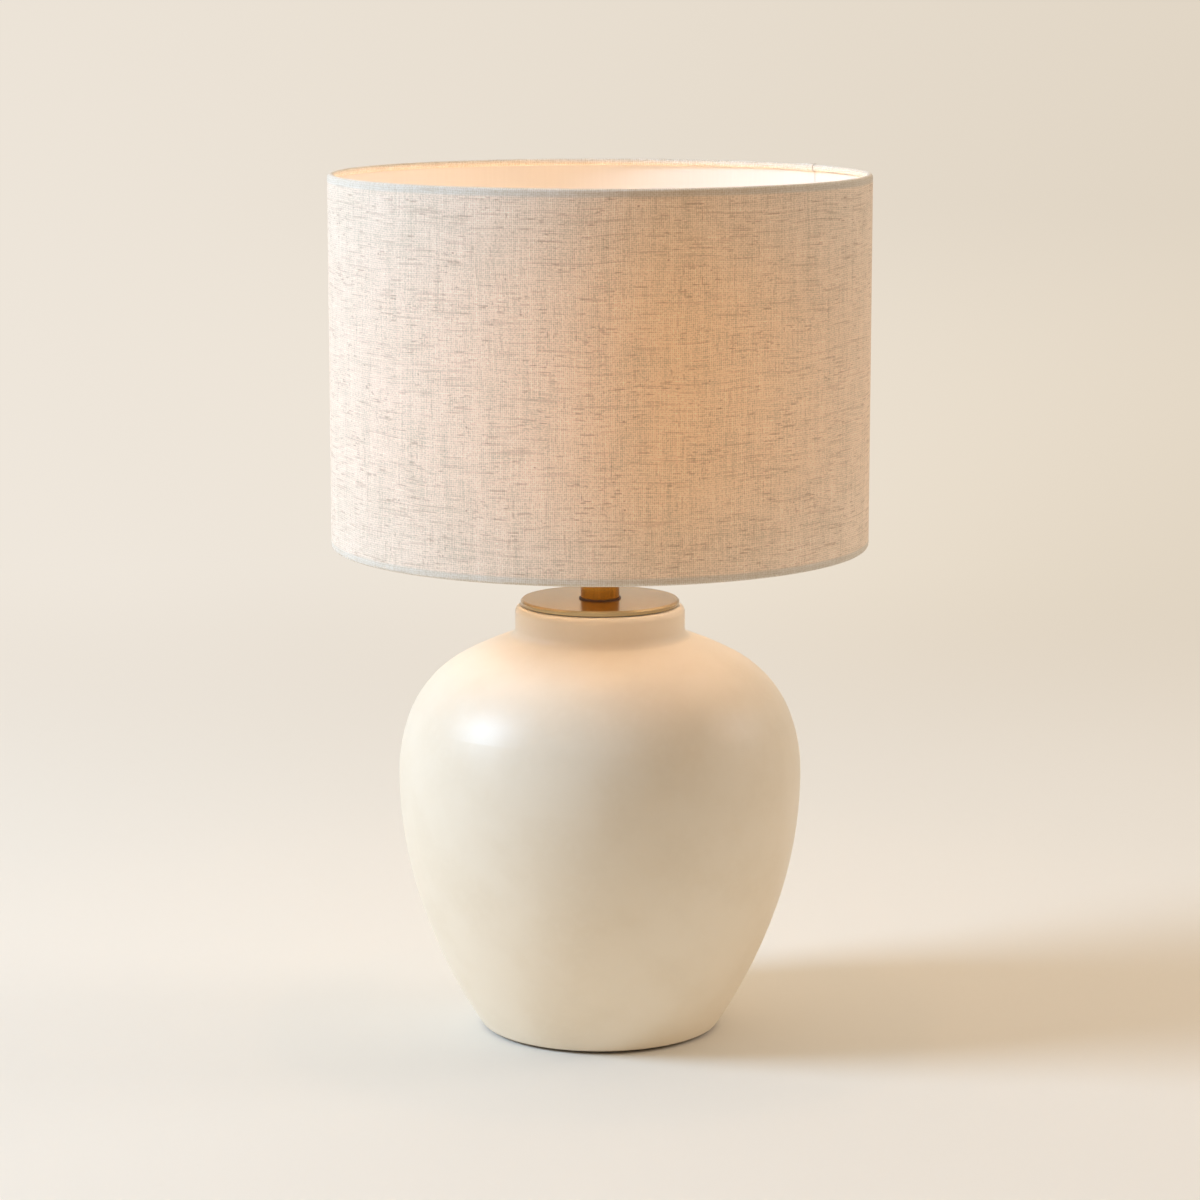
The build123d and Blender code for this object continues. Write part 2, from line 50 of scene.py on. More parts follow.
# ---- Two softboxes: a cool one on the left, a pale one on the right ----
SOFTBOX_AIM = Vector((0, 0, 0.25))
KEY_TOWARDS = Vector((-0.86, -0.15, 0.50)).normalized()
KEY_DISTANCE = 4.2
KEY_SIZE = 1.6
KEY_POWER = 166.0
KEY_COLOR = (0.545, 0.745, 1.0)
RIM_TOWARDS = Vector((0.90, 0.12, 0.40)).normalized()
RIM_DISTANCE = 3.5
RIM_SIZE = 1.6
RIM_POWER = 21.0
RIM_COLOR = (0.94, 0.91, 0.91)

# ---- The bulb, a warm spot on the shade's front and a low card in front ----
BULB_LIGHT_POWER = 0.42
BULB_LIGHT_COLOR = (1.0, 0.635, 0.375)
BULB_LIGHT_GAP = 1.0 * MM
SPOT_PLACE = Vector((0.75, -2.2, 0.75))
SPOT_AIM = Vector((0.025, -0.17, 0.450))
SPOT_ANGLE = math.radians(9.0)
SPOT_RADIUS = 0.05
SPOT_POWER = 36.0
SPOT_COLOR = (1.0, 0.40, 0.0)
CARD_PLACE = Vector((0.10, -1.35, 0.06))
CARD_AIM = Vector((0.0, 0.0, -0.04))
CARD_WIDTH = 1.1
CARD_HEIGHT = 0.24
CARD_SPREAD = math.radians(22)
CARD_POWER = 0.19
CARD_COLOR = (1.0, 0.86, 0.66)

# ---- A soft warm room, brighter behind the lamp and above it ----
ROOM_FRONT_COLOR = (0.092, 0.068, 0.050)
ROOM_BACK_COLOR = (0.98, 0.81, 0.62)
ROOM_BACK_SHARE = 0.8
ROOM_UP_SHARE = 0.6
ROOM_LEAN = (-0.75, 1.0)

# ---- Floor and background ----
FLOOR_RADIUS = 60.0
FLOOR_SIDES = 96
FLOOR_COLOR = (0.815, 0.780, 0.708)
FLOOR_DARK_COLOR = (0.18, 0.16, 0.14)
# Painted shade: the background is paler on the left, towards the key softbox, and darker on the right.
BACKDROP_LIT_LEFT_COLOR = (0.865, 0.80, 0.715)
BACKDROP_SHADED_RIGHT_COLOR = (0.715, 0.63, 0.515)
BACKDROP_TURN = 0.35
FLOOR_NEAR = 0.8
FLOOR_FAR = 2.0
# Beyond this pale round, the floor throws little light back on the lamp.
TABLE_MIDDLE = (-0.8, 0.4)
TABLE_EDGE = (1.4, 2.25)
# Painted light: the background is lightest behind the lamp: where that sets in and ends, by side, and how
# far it reaches.
PAINTED_LIFT_STRENGTH = 0.11
LIFT_START = (-0.25, 0.10)
LIFT_END = (0.15, 0.45)
LIFT_END_SHARE = 0.4
LIFT_REACH = (1.8, 9.0)
LIFT_REACH_SHARE = 0.2
NEARLY_NOTHING = 0.001

# ---- Sizes read from the frame ----
linen_low, linen_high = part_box("shade_fabric")
liner_low, liner_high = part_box("shade_liner")
globe_low, globe_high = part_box("bulb_dome")
SHADE_RADIUS = linen_high.x
HEM_RADIUS = (linen_high.z - liner_high.z) / 2
HEM_CIRCLE = SHADE_RADIUS - HEM_RADIUS
HEM_TOP = linen_high.z - HEM_RADIUS
HEM_BOTTOM = linen_low.z + HEM_RADIUS
LINEN_THICKNESS = SHADE_RADIUS - liner_high.x
LINER_THICKNESS = 0.4 * MM
LINER_INSIDE = liner_high.x - LINER_THICKNESS
GLOBE_RADIUS = globe_high.x
GLOBE_CENTRE = Vector((0, 0, globe_high.z - GLOBE_RADIUS))
SEAM_AZIMUTH = math.radians(36)


# ---------------------------------------------------------------- node trees
class Tree:
    """A small writer of shader nodes for one material or the world."""

    def __init__(self, owner):
        owner.use_nodes = True
        self.tree = owner.node_tree
        self.tree.nodes.clear()

    def node(self, kind, sockets=(), **settings):
        """Add a node. Sockets is a dict of input name or number to a value or an output."""
        made = self.tree.nodes.new(kind)
        for key, value in settings.items():
            setattr(made, key, value)
        for key, value in dict(sockets).items():
            if isinstance(value, bpy.types.NodeSocket):
                self.tree.links.new(value, made.inputs[key])
            else:
                made.inputs[key].default_value = value
        return made

    def math(self, operation, *values):
        return self.node("ShaderNodeMath", dict(enumerate(values)), operation=operation).outputs[0]

    def vector(self, x, y, z=0.0):
        return self.node("ShaderNodeCombineXYZ", {0: x, 1: y, 2: z}).outputs[0]

    def split(self, vector):
        return self.node("ShaderNodeSeparateXYZ", {0: vector}).outputs

    def flat_length(self, x, y):
        """The length of x and y together, as seen from above."""
        return self.math("SQRT", self.math("MULTIPLY_ADD", x, x, self.math("MULTIPLY", y, y)))

    def total(self, *parts):
        """Add up pairs of a value and its weight."""
        summed = 0.0
        for value, weight in parts:
            summed = self.math("MULTIPLY_ADD", value, weight, summed)
        return summed

    def ramp(self, value, low, high, out_low=0.0, out_high=1.0):
        """Go smoothly from one value to another."""
        made = self.node(
            "ShaderNodeMapRange",
            {"Value": value, "From Min": low, "From Max": high, "To Min": out_low, "To Max": out_high},
            interpolation_type="SMOOTHSTEP",
        )
        return made.outputs["Result"]

    def mix(self, factor, first, second, blend="MIX"):
        """Mix two colours."""
        made = self.node("ShaderNodeMix", data_type="RGBA", blend_type=blend)
        for number, value in ((0, factor), (6, first), (7, second)):
            if isinstance(value, bpy.types.NodeSocket):
                self.tree.links.new(value, made.inputs[number])
            elif number:
                made.inputs[number].default_value = (*value, 1.0)
            else:
                made.inputs[number].default_value = value
        return made.outputs[2]

    def noise(self, vector, scale=1.0, detail=2.0):
        made = self.node("ShaderNodeTexNoise", {"Vector": vector, "Scale": scale, "Detail": detail})
        return made.outputs["Fac"]

    def place(self):
        """The point on the piece in millimetres."""
        point = self.node("ShaderNodeTexCoord").outputs["Object"]
        return self.node("ShaderNodeVectorMath", {0: point, "Scale": 1 / MM}, operation="SCALE").outputs[0]

    def bump(self, height, distance, strength):
        """Bump from a height of 0 to 1 over a distance in metres."""
        made = self.node("ShaderNodeBump", {"Height": height, "Distance": distance, "Strength": strength})
        return made.outputs["Normal"]

    def surface(self, **sockets):
        """End the material in a Principled shader; names are written with underscores for spaces."""
        named = {key.replace("_", " "): value for key, value in sockets.items()}
        shader = self.node("ShaderNodeBsdfPrincipled", named)
        self.node("ShaderNodeOutputMaterial", {"Surface": shader.outputs[0]})


def material(name):
    made = bpy.data.materials.new(name)
    return made, Tree(made)


# ---------------------------------------------------------------- linen
# Lengths in the materials are in millimetres, apart from the depth of a bump.
THREAD_PITCH = 1.3
THREAD_SEED_STEP = 3.71
WARP_DRIFT = 5.0
WEFT_DRIFT = 6.0
SLUB_PITCH = 1.0
THICK_SLUB_PITCH = 1.2
SLUB_ROUNDNESS = 0.6
SLUB_COVER = 0.46
KNOT_CELL = 9.0
KNOT_FLATNESS = 1.25
KNOT_EDGE = (0.05, 0.12)
KNOTLESS_SHARE = 0.86
LINEN_COLOR = (0.80, 0.722, 0.61)
SLUB_COLOR = (0.30, 0.13, 0.04)
# Darker yarn is browner, so its blue falls most.
TONE_SHARES = (0.70, 0.87, 1.22)
TONE_IN_GLOW = 4.2
# Painted glow: emission colours on the cloth in place of the bulb's light shining through it.
PAINTED_GLOW_MIDDLE_COLOR = (0.155, 0.052, 0.002)
PAINTED_GLOW_EDGE_COLOR = (0.125, 0.055, 0.018)
SLUB_PAINTED_GLOW_COLOR = (0.36, 0.20, 0.06)
# The painted glow follows the bulb's light on the wall, which falls with the cube of the cosine of its
# angle.
GLOW_EXPONENT = -1.5
GLOW_FADE = (0.50, 1.0)
# The painted glow fades out from this far within the liner's edge to this far past it.
WALL_WITHIN = 1.2
WALL_PAST = 0.6
HEM_FLECKS = 0.35
HEM_RELIEF = 0.25
LINEN_RELIEF = 0.30 * MM


def linen_material():
    """Slubby linen with a painted glow, even all round, in place of the bulb's light shining through it."""
    made, t = material("linen_weave")
    turned = t.node(
        "ShaderNodeVectorRotate",
        {"Vector": t.place(), "Angle": math.pi - SEAM_AZIMUTH},
        rotation_type="Z_AXIS",
    ).outputs[0]
    x, y, z = t.split(turned)
    around = t.math("MULTIPLY", t.math("ARCTAN2", y, x), SHADE_RADIUS / MM)

    def patches(width, height, seed, detail=1.0):
        """Noise drawn out to a width and height."""
        place = t.vector(t.math("DIVIDE", around, width), t.math("DIVIDE", z, height), seed)
        return t.noise(place, detail=detail)

    # Threads don't lie quite straight.
    drift = t.math("SUBTRACT", patches(width=70.0, height=70.0, seed=11.0), 0.5)
    warp_place = t.math("MULTIPLY_ADD", drift, WARP_DRIFT, around)
    weft_place = t.math("MULTIPLY_ADD", drift, WEFT_DRIFT, z)

    def threads(across, along, pitch, length, seed):
        """Noise that runs along each thread by itself, and the thread's round profile."""
        count = t.math("DIVIDE", across, pitch)
        row = t.math("MULTIPLY", t.math("FLOOR", count), THREAD_SEED_STEP)
        place = t.vector(t.math("DIVIDE", along, length), row, seed)
        round_top = t.math("SINE", t.math("MULTIPLY", t.math("FRACT", count), math.pi))
        return t.noise(place, detail=1.0), round_top

    def slubs(across, along, pitch, length, seed, low, high, strength):
        """Thick stretches of thread, where its noise rises over a level."""
        value, round_top = threads(across, along, pitch, length, seed)
        thick = t.math("MULTIPLY", t.ramp(value, low, high), strength)
        return t.math("MULTIPLY", thick, t.math("POWER", round_top, SLUB_ROUNDNESS))

    def weft_slubs(pitch, **shape):
        return slubs(weft_place, around, pitch, **shape)

    def warp_slubs(pitch, **shape):
        return slubs(warp_place, z, pitch, **shape)

    # Threads keep their own tone for a stretch, and the weave shows as a fine grid at their pitch.
    warp, warp_top = threads(warp_place, z, THREAD_PITCH, length=30.0, seed=1.0)
    weft, weft_top = threads(weft_place, around, THREAD_PITCH, length=22.0, seed=2.0)
    noises = (
        (warp, 0.26),
        (weft, 0.22),
        (patches(width=8.0, height=240.0, seed=3.0, detail=2.0), 0.10),
        (patches(width=28.0, height=18.0, seed=4.0, detail=3.0), 0.11),
        (patches(width=1.25, height=1.25, seed=5.0), 0.52),
    )
    tops = ((warp_top, 0.18), (weft_top, 0.14))
    # Noise lies around a half and a round top around 2 / pi. That comes off, so the tone lies around 0.
    noise_mean = sum(weight for value, weight in noises) / 2
    top_mean = sum(weight for value, weight in tops) * 2 / math.pi
    tone = t.math("SUBTRACT", t.total(*noises, *tops), noise_mean + top_mean)

    # Slubs lie in loose clusters, mostly along the weft, some with a knot.
    clustered = t.ramp(patches(width=30.0, height=22.0, seed=6.0), 0.38, 0.62)
    gathered = t.math(
        "MAXIMUM",
        weft_slubs(SLUB_PITCH, length=9.0, seed=8.0, low=0.60, high=0.72, strength=0.95),
        warp_slubs(SLUB_PITCH, length=8.0, seed=9.0, low=0.64, high=0.76, strength=0.75),
    )
    flecks = t.math("MULTIPLY", gathered, t.math("MULTIPLY_ADD", clustered, 0.8, 0.2))
    cells = t.node(
        "ShaderNodeTexVoronoi",
        {"Vector": t.vector(around, t.math("MULTIPLY", z, KNOT_FLATNESS), 3.0), "Scale": 1 / KNOT_CELL},
    )
    chosen = t.math("GREATER_THAN", t.split(cells.outputs["Color"])[0], KNOTLESS_SHARE)
    for kind in (
        t.math("MULTIPLY", t.ramp(cells.outputs["Distance"], *KNOT_EDGE, 1.0, 0.0), chosen),
        weft_slubs(THICK_SLUB_PITCH, length=30.0, seed=7.0, low=0.56, high=0.70, strength=0.50),
        weft_slubs(SLUB_PITCH, length=18.0, seed=12.0, low=0.65, high=0.76, strength=0.85),
        warp_slubs(SLUB_PITCH, length=20.0, seed=10.0, low=0.62, high=0.74, strength=0.45),
    ):
        flecks = t.math("MAXIMUM", flecks, kind)

    wall = t.math(
        "MULTIPLY",
        t.ramp(z, liner_low.z / MM - WALL_PAST, liner_low.z / MM + WALL_WITHIN),
        t.ramp(z, liner_high.z / MM - WALL_WITHIN, liner_high.z / MM + WALL_PAST, 1.0, 0.0),
    )

    def less_on_hems(value, share):
        """Keep a value on the wall, and only a share of it on the wired hems."""
        return t.math("MULTIPLY", value, t.math("MULTIPLY_ADD", wall, 1 - share, share))

    flecks = less_on_hems(flecks, HEM_FLECKS)
    levels = [t.math("MULTIPLY_ADD", tone, share, 1.0) for share in TONE_SHARES]
    plain = t.mix(1.0, LINEN_COLOR, t.vector(*levels), "MULTIPLY")
    color = t.mix(t.math("MULTIPLY", flecks, SLUB_COVER), plain, SLUB_COLOR)

    # Painted glow: emission stands in for the bulb's light through the cloth and follows the light that
    # reaches the wall; the hems get none and stay dark.
    rise = t.math("DIVIDE", t.math("SUBTRACT", z, GLOBE_CENTRE.z / MM), SHADE_RADIUS / MM)
    reaching = t.math("POWER", t.math("MULTIPLY_ADD", rise, rise, 1.0), GLOW_EXPONENT)
    painted_glow = t.mix(t.ramp(reaching, *GLOW_FADE), PAINTED_GLOW_EDGE_COLOR, PAINTED_GLOW_MIDDLE_COLOR)
    through = t.math("MULTIPLY", wall, t.math("MULTIPLY_ADD", tone, TONE_IN_GLOW, 1.0))
    painted_glow = t.mix(1.0, painted_glow, t.vector(through, through, through), "MULTIPLY")
    painted_glow = t.mix(flecks, painted_glow, t.mix(1.0, painted_glow, SLUB_PAINTED_GLOW_COLOR, "MULTIPLY"))

    # Plain weave: warp and weft pass over each other.
    relief = t.total((warp_top, 0.25), (weft_top, 0.25), (warp, 0.4), (weft, 0.4), (flecks, 0.5))
    t.surface(
        Base_Color=color,
        Roughness=0.9,
        Specular_IOR_Level=0.15,
        Sheen_Weight=0.15,
        Sheen_Roughness=0.6,
        Emission_Color=painted_glow,
        Emission_Strength=1.0,
        Normal=t.bump(less_on_hems(relief, HEM_RELIEF), LINEN_RELIEF, 0.7),
    )
    return made


# ---------------------------------------------------------------- other materials
LINER_LINE_WIDTH = 2.0
LINER_LINE_LENGTH = 90.0


def liner_material():
    """White styrene with a soft gloss and faint drawing lines."""
    made, t = material("styrene")
    x, y, z = t.split(t.place())
    around = t.math("MULTIPLY", t.math("ARCTAN2", y, x), SHADE_RADIUS / MM)
    across = t.math("DIVIDE", around, LINER_LINE_WIDTH)
    lines = t.noise(t.vector(across, t.math("DIVIDE", z, LINER_LINE_LENGTH)))
    t.surface(
        Base_Color=t.mix(lines, (0.77, 0.735, 0.685), (0.81, 0.78, 0.735)),
        Roughness=t.ramp(lines, 0.3, 0.7, 0.42, 0.52),
        Normal=t.bump(lines, 0.05 * MM, 0.4),
    )
    return made


GLAZE_COLOR = (0.855, 0.745, 0.585)
GLAZE_LIGHT_COLOR = (0.885, 0.78, 0.625)
GLAZE_SPECK_COLOR = (0.81, 0.70, 0.545)
CLAY_DARK_COLOR = (0.62, 0.50, 0.38)
CLAY_COLOR = (0.70, 0.59, 0.46)
CLOUD_SIZE = 45.0
MOTTLE_SIZE = 6.0
SPECKLE_SIZE = 0.9
RING_WIDTH = 60.0
RING_HEIGHT = 3.2
GLAZE_ROUGHNESS = (0.39, 0.43)
CLAY_ROUGHER = 0.5
# The glaze ends at this height, give or take; within this radius and below this height the foot is bare.
GLAZE_LINE = 2.2
GLAZE_LINE_WAVE = 0.8
FOOT_BARE_RADIUS = 72.0
FOOT_BARE_HEIGHT = 34.0


def glaze_material():
    """Cream satin glaze with faint clouds, and bare clay at the foot's edge and in its recess."""
    made, t = material("cream_glaze")
    point = t.place()
    x, y, z = t.split(point)
    radius = t.flat_length(x, y)
    clouds = t.noise(point, 1 / CLOUD_SIZE, detail=3.0)
    mottle = t.noise(point, 1 / MOTTLE_SIZE, detail=3.0)
    speckle = t.noise(point, 1 / SPECKLE_SIZE, detail=1.0)
    rings = t.noise(t.vector(t.math("DIVIDE", radius, RING_WIDTH), 0.0, t.math("DIVIDE", z, RING_HEIGHT)))
    glaze = t.mix(t.ramp(clouds, 0.35, 0.65), GLAZE_COLOR, GLAZE_LIGHT_COLOR)
    glaze = t.mix(t.ramp(mottle, 0.45, 0.7, 0.0, 0.35), glaze, GLAZE_LIGHT_COLOR)
    glaze = t.mix(t.ramp(speckle, 0.70, 0.80, 0.0, 0.2), glaze, GLAZE_SPECK_COLOR)
    clay = t.mix(t.ramp(mottle, 0.3, 0.7), CLAY_DARK_COLOR, CLAY_COLOR)
    edge = t.math("MULTIPLY_ADD", clouds, GLAZE_LINE_WAVE, GLAZE_LINE)
    within = t.math("LESS_THAN", radius, FOOT_BARE_RADIUS)
    recess = t.math("MULTIPLY", within, t.math("LESS_THAN", z, FOOT_BARE_HEIGHT))
    bare = t.math("MAXIMUM", t.math("LESS_THAN", z, edge), recess)
    relief = t.math("ADD", t.math("MULTIPLY", clouds, 0.6), t.math("MULTIPLY", rings, 0.10))
    relief = t.math("ADD", relief, t.math("MULTIPLY", mottle, 0.03))
    relief = t.math("MULTIPLY_ADD", t.math("MULTIPLY", bare, speckle), 0.6, relief)
    t.surface(
        Base_Color=t.mix(bare, glaze, clay),
        Roughness=t.math("MULTIPLY_ADD", bare, CLAY_ROUGHER, t.ramp(clouds, 0.3, 0.7, *GLAZE_ROUGHNESS)),
        Specular_IOR_Level=0.40,
        Coat_Weight=0.10,
        Coat_Roughness=0.30,
        Normal=t.bump(relief, 0.5 * MM, 0.35),
    )
    return made


TUBE_LINES_A_RADIAN = 30.0
TUBE_LINE_LENGTH = 45.0
TURNED_LINES = 2.2
SATIN_GRAIN = 2.5
SMUDGE_SIZE = 18.0


def metal_material(name, color, dark_color, roughness, line_direction):
    """Metal with lines that run up or round its axis, or with an even satin grain."""
    made, t = material(name)
    point = t.place()
    x, y, z = t.split(point)
    turn = t.math("ARCTAN2", y, x)
    if line_direction == "up":
        across = t.math("MULTIPLY", turn, TUBE_LINES_A_RADIAN)
        grain = t.noise(t.vector(across, t.math("DIVIDE", z, TUBE_LINE_LENGTH)), detail=3.0)
    elif line_direction == "round":
        across = t.math("MULTIPLY", t.flat_length(x, y), TURNED_LINES)
        place = t.vector(across, t.math("MULTIPLY", z, TURNED_LINES), turn)
        grain = t.noise(place, detail=3.0)
    else:
        grain = t.noise(point, SATIN_GRAIN, detail=3.0)
    smudge = t.noise(point, 1 / SMUDGE_SIZE)
    tone = t.math("MULTIPLY_ADD", grain, 0.8, t.math("MULTIPLY", smudge, 0.2))
    t.surface(
        Base_Color=t.mix(t.ramp(tone, 0.3, 0.7), dark_color, color),
        Metallic=1.0,
        Roughness=t.ramp(tone, 0.3, 0.7, roughness * 0.85, roughness * 1.15),
        Normal=t.bump(grain, 0.015 * MM, 0.3),
    )
    return made


CLOUDS_TO_GRAIN = 20


def moulded_material(name, color, dark_color, roughness, grain_size=0.6, depth=0.03):
    """Moulded plastic, rubber, felt or porcelain, with a grain of a size and depth in millimetres."""
    made, t = material(name)
    point = t.place()
    grain = t.noise(point, 1 / grain_size, detail=3.0)
    cloud = t.noise(point, 1 / (grain_size * CLOUDS_TO_GRAIN))
    tone = t.math("MULTIPLY_ADD", grain, 0.5, t.math("MULTIPLY", cloud, 0.5))
    t.surface(
        Base_Color=t.mix(t.ramp(tone, 0.35, 0.65), dark_color, color),
        Roughness=t.ramp(tone, 0.3, 0.7, roughness * 0.9, min(1.0, roughness * 1.1)),
        Normal=t.bump(grain, depth * MM, 0.5),
    )
    return made


def opal_material():
    """The lit dome: opal plastic, brightest at its crown and a little dimmer towards its rim."""
    made, t = material("opal_lit")
    point = t.place()
    z = t.split(point)[2]
    grain = t.noise(point, 1 / 0.8)
    height = t.ramp(z, globe_low.z / MM, globe_high.z / MM)
    t.surface(
        Base_Color=t.mix(grain, (0.84, 0.82, 0.78), (0.88, 0.86, 0.83)),
        Roughness=t.ramp(grain, 0.3, 0.7, 0.35, 0.45),
        Emission_Color=t.mix(height, (1.0, 0.80, 0.56), (1.0, 0.88, 0.70)),
        Emission_Strength=1.6,
        Normal=t.bump(grain, 0.02 * MM, 0.3),
    )
    return made


def led_material():
    """Yellow phosphor on each light source, lit."""
    made, t = material("phosphor")
    grain = t.noise(t.place(), 1 / 0.25)
    t.surface(
        Base_Color=t.mix(grain, (0.78, 0.55, 0.12), (0.88, 0.68, 0.20)),
        Roughness=0.5,
        Emission_Color=t.mix(grain, (1.0, 0.78, 0.45), (1.0, 0.86, 0.6)),
        Emission_Strength=1.5,
    )
    return made


# Each material slot of the record and its look: colour, dark colour, roughness and then the grain.
LOOKS = {
    "glazed_ceramic": glaze_material(),
    "grommet_plastic": moulded_material("cream_grommet", (0.62, 0.53, 0.41), (0.55, 0.47, 0.36), 0.45),
    "felt": moulded_material("dark_felt", (0.060, 0.050, 0.042), (0.024, 0.020, 0.017), 0.98, 0.35, 0.35),
    "black_rubber": moulded_material("rubber", (0.030, 0.028, 0.026), (0.018, 0.017, 0.016), 0.75, 0.5),
    "zinc_steel": metal_material("zinc", (0.62, 0.62, 0.60), (0.48, 0.48, 0.47), 0.34, "even"),
    "polished_brass": metal_material("cap_brass", (0.50, 0.345, 0.175), (0.44, 0.30, 0.145), 0.22, "round"),
    "brushed_brass": metal_material("stem_brass", (0.46, 0.20, 0.03), (0.37, 0.155, 0.02), 0.20, "up"),
    "dark_fibre": moulded_material("fibre", (0.080, 0.030, 0.016), (0.045, 0.018, 0.010), 0.6, 0.4),
    "holder_plastic": moulded_material("holder_white", (0.74, 0.71, 0.66), (0.70, 0.67, 0.61), 0.38),
    "porcelain": moulded_material("glazed_porcelain", (0.80, 0.78, 0.73), (0.76, 0.74, 0.69), 0.22, 1.2),
    "contact_brass": metal_material("contact", (0.85, 0.66, 0.35), (0.74, 0.54, 0.26), 0.28, "even"),
    "switch_plastic": moulded_material("switch_black", (0.035, 0.033, 0.031), (0.022, 0.021, 0.020), 0.42),
    "linen": linen_material(),
    "shade_liner": liner_material(),
    "white_wire": moulded_material("white_lacquer", (0.78, 0.75, 0.70), (0.72, 0.69, 0.64), 0.35, 1.0),
    "opal_plastic": opal_material(),
    "bulb_plastic": moulded_material("bulb_white", (0.82, 0.80, 0.76), (0.78, 0.76, 0.72), 0.36),
    "bulb_metal": metal_material("bulb_nickel", (0.72, 0.70, 0.66), (0.58, 0.56, 0.53), 0.26, "round"),
    "bulb_insulator": moulded_material("black_glass", (0.030, 0.028, 0.026), (0.018, 0.017, 0.016), 0.2),
    "led_board": moulded_material("white_mask", (0.78, 0.78, 0.76), (0.70, 0.70, 0.68), 0.4, 0.5),
    "led_emitters": led_material(),
}


def dress_frame():
    """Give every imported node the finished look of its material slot."""
    for part in nodes.values():
        for holder in part.material_slots:
            holder.material = LOOKS[holder.material.name.split(".")[0]]


# ---------------------------------------------------------------- mesh pieces
def piece(name, points, faces, body, slot, smooth_angle=40):
    """Make a mesh object from points and faces, and put it on a body in a slot's look."""
    mesh = bpy.data.meshes.new(name)
    mesh.from_pydata(points, [], faces)
    mesh.validate()
    made = bpy.data.objects.new(name, mesh)
    bpy.context.scene.collection.objects.link(made)
    made.data.materials.append(LOOKS[slot])
    for polygon in mesh.polygons:
        polygon.use_smooth = True
    mesh.set_sharp_from_angle(angle=math.radians(smooth_angle))
    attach(made, body)
    return made


def arc(centre, radius, start, turn, count):
    """Points on an arc in the (radius, height) half plane; angles in degrees."""
    for step in range(count + 1):
        angle = math.radians(start + turn * step / count)
        yield centre[0] + radius * math.cos(angle), centre[1] + radius * math.sin(angle)


def strip(first, second, count):
    """Faces between two like sections, from the numbers of their first points."""
    for j in range(count):
        k = (j + 1) % count
        yield first + j, second + j, second + k, first + k


def lathe(section, angles, closed=True, shift=None):
    """Points and faces of a closed section turned through the angles.

    Shift gives how far a point moves in the half plane."""
    count = len(section)
    points = []
    for angle in angles:
        for r, z in section:
            dr, dz = shift(angle, r, z) if shift else (0, 0)
            points.append(((r + dr) * math.cos(angle), (r + dr) * math.sin(angle), z + dz))
    faces = []
    turns = len(angles) if closed else len(angles) - 1
    for i in range(turns):
        faces += strip(i * count, (i + 1) % len(angles) * count, count)
    if not closed:
        last = (len(angles) - 1) * count
        faces.append(tuple(range(count)))
        faces.append(tuple(last + j for j in reversed(range(count))))
    return points, faces


HEM_ROLL = 300
HEM_STEPS = 18
HEM_WAVES = 22
HEM_WAVE_STRETCH = 4
HEM_WAVE_HEIGHT = 0.04 * MM
WALL_ROWS = 24
ROUND_STEPS = 360
LAP_WIDTH = math.radians(4.6)
LAP_STEPS = 8
LAP_THICKNESS = 0.5 * MM
LINER_LAP_WIDTH = math.radians(3.4)
LINER_LAP_THICKNESS = 0.3 * MM
# How far a piece that is added goes into what carries it.
SUNK = 0.05 * MM


def cloth_path(radius):
    """A line down the wall from the upper rolled edge to the lower one, at a radius from the wires."""
    path = list(arc((HEM_CIRCLE, HEM_TOP), radius, HEM_ROLL, -HEM_ROLL, HEM_STEPS))
    drop = HEM_BOTTOM - HEM_TOP
    path += [(HEM_CIRCLE + radius, HEM_TOP + drop * row / WALL_ROWS) for row in range(1, WALL_ROWS)]
    path += arc((HEM_CIRCLE, HEM_BOTTOM), radius, 0, -HEM_ROLL, HEM_STEPS)
    return path


def uneven(angle, r, z):
    """Let the rolled edges of the cloth rise and fall a little."""
    if HEM_BOTTOM < z < HEM_TOP and r > HEM_CIRCLE + HEM_RADIUS / 2:
        return 0, 0
    wave = noise.noise(Vector((math.cos(angle), math.sin(angle), z * HEM_WAVE_STRETCH)) * HEM_WAVES)
    out = 1 if z > HEM_BOTTOM + HEM_RADIUS * 2 else -1
    return 0, out * HEM_WAVE_HEIGHT * wave


def seam_angles(width):
    """The angles across a lap of a width, at the seam."""
    return [SEAM_AZIMUTH + width * (i / LAP_STEPS - 0.5) for i in range(LAP_STEPS + 1)]


def make_linen():
    """The shade's cloth with its rolled edges, and the glued lap where its ends meet."""
    section = cloth_path(HEM_RADIUS) + cloth_path(HEM_RADIUS - LINEN_THICKNESS)[::-1]
    angles = [2 * math.pi * i / ROUND_STEPS for i in range(ROUND_STEPS)]
    points, faces = lathe(section[::-1], angles, shift=uneven)
    drum = piece("linen_drum", points, faces, "shade", "linen")
    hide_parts("shade_fabric")
    section = cloth_path(HEM_RADIUS + LAP_THICKNESS) + cloth_path(HEM_RADIUS - SUNK)[::-1]
    points, faces = lathe(section[::-1], seam_angles(LAP_WIDTH), closed=False, shift=uneven)
    piece("linen_lap", points, faces, "shade", "linen")


def make_liner_lap():
    """The lap where the liner's ends meet, on its inside."""
    outer = LINER_INSIDE + SUNK
    inner = LINER_INSIDE - LINER_LAP_THICKNESS
    drop = liner_low.z - liner_high.z
    heights = [liner_high.z + drop * row / WALL_ROWS for row in range(WALL_ROWS + 1)]
    section = [(outer, z) for z in heights] + [(inner, z) for z in reversed(heights)]
    points, faces = lathe(section[::-1], seam_angles(LINER_LAP_WIDTH), closed=False)
    piece("liner_lap", points, faces, "shade", "shade_liner")


